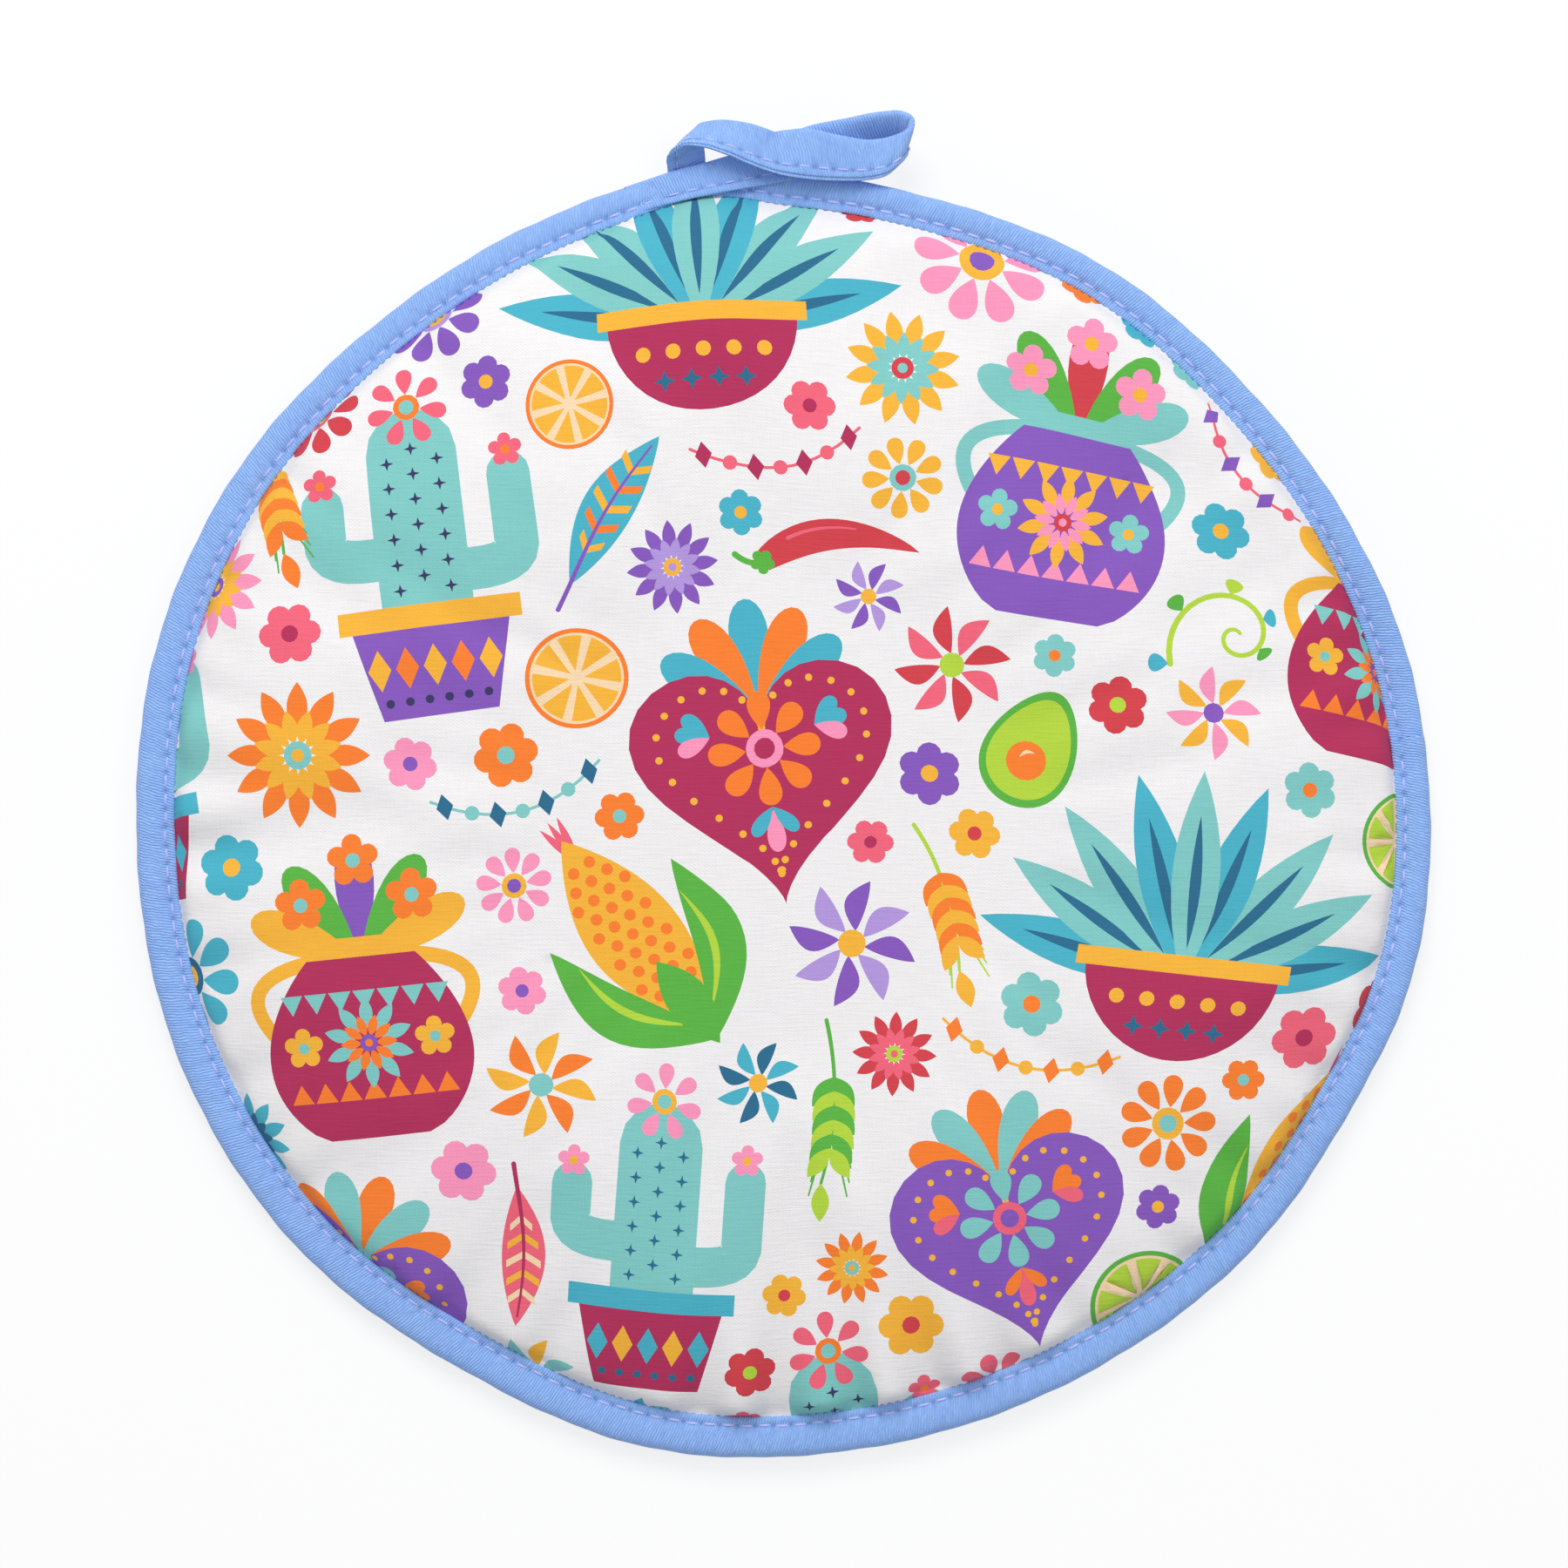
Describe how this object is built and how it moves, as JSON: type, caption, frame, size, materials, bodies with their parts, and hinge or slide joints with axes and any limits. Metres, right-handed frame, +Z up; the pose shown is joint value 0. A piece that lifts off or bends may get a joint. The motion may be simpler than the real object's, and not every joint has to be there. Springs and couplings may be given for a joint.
{
  "type": "tortilla warmer",
  "caption": "Round quilted cloth pouch for keeping tortillas warm, bound in blue tape at the rim, open along one arc, with a fabric hang loop.",
  "frame": {"origin": "middle of the disc's flat underside, where it lies on a table", "axes": "+Z up out of the printed front, +Y towards the hang loop, +X to the right as seen from the front; the mouth's middle is 52 degrees from +X towards +Y"},
  "size_m": [0.3048, 0.3184, 0.02],
  "materials": {
    "printed_cover": "fine plain-woven polyester, off-white with a print",
    "back_cloth": "fine plain-woven polyester, off-white",
    "lining_cloth": "plain cotton lining, natural white",
    "batting": "soft needled fibre batting",
    "blue_tape": "pale blue bias tape with fine crosswise ribs"
  },
  "bodies": {
    "pouch": {"back_cover": "back_cloth", "back_batting": "batting", "back_lining": "lining_cloth", "front_lining": "lining_cloth", "front_batting": "batting", "front_cover": "printed_cover", "rim_binding": "blue_tape", "back_mouth_binding": "blue_tape"},
    "mouth_flap": {"flap_lining": "lining_cloth", "flap_batting": "batting", "flap_cover": "printed_cover", "front_mouth_binding": "blue_tape"},
    "loop": {"hang_loop": "blue_tape"}
  },
  "joints": [
    {"name": "mouth_open", "type": "hinge", "parent": "pouch", "child": "mouth_flap", "pos_m": [0.06518, 0.08342, 0.0095], "axis": [0.788, -0.6157, 0], "range_deg": [-8, 28], "stiffness_Nm_per_rad": 0.06},
    {"name": "loop_swing", "type": "hinge", "parent": "pouch", "child": "loop", "pos_m": [-0.024, 0.15295, 0.0085], "axis": [0, 0, 1], "range_deg": [0, 100]}
  ]
}
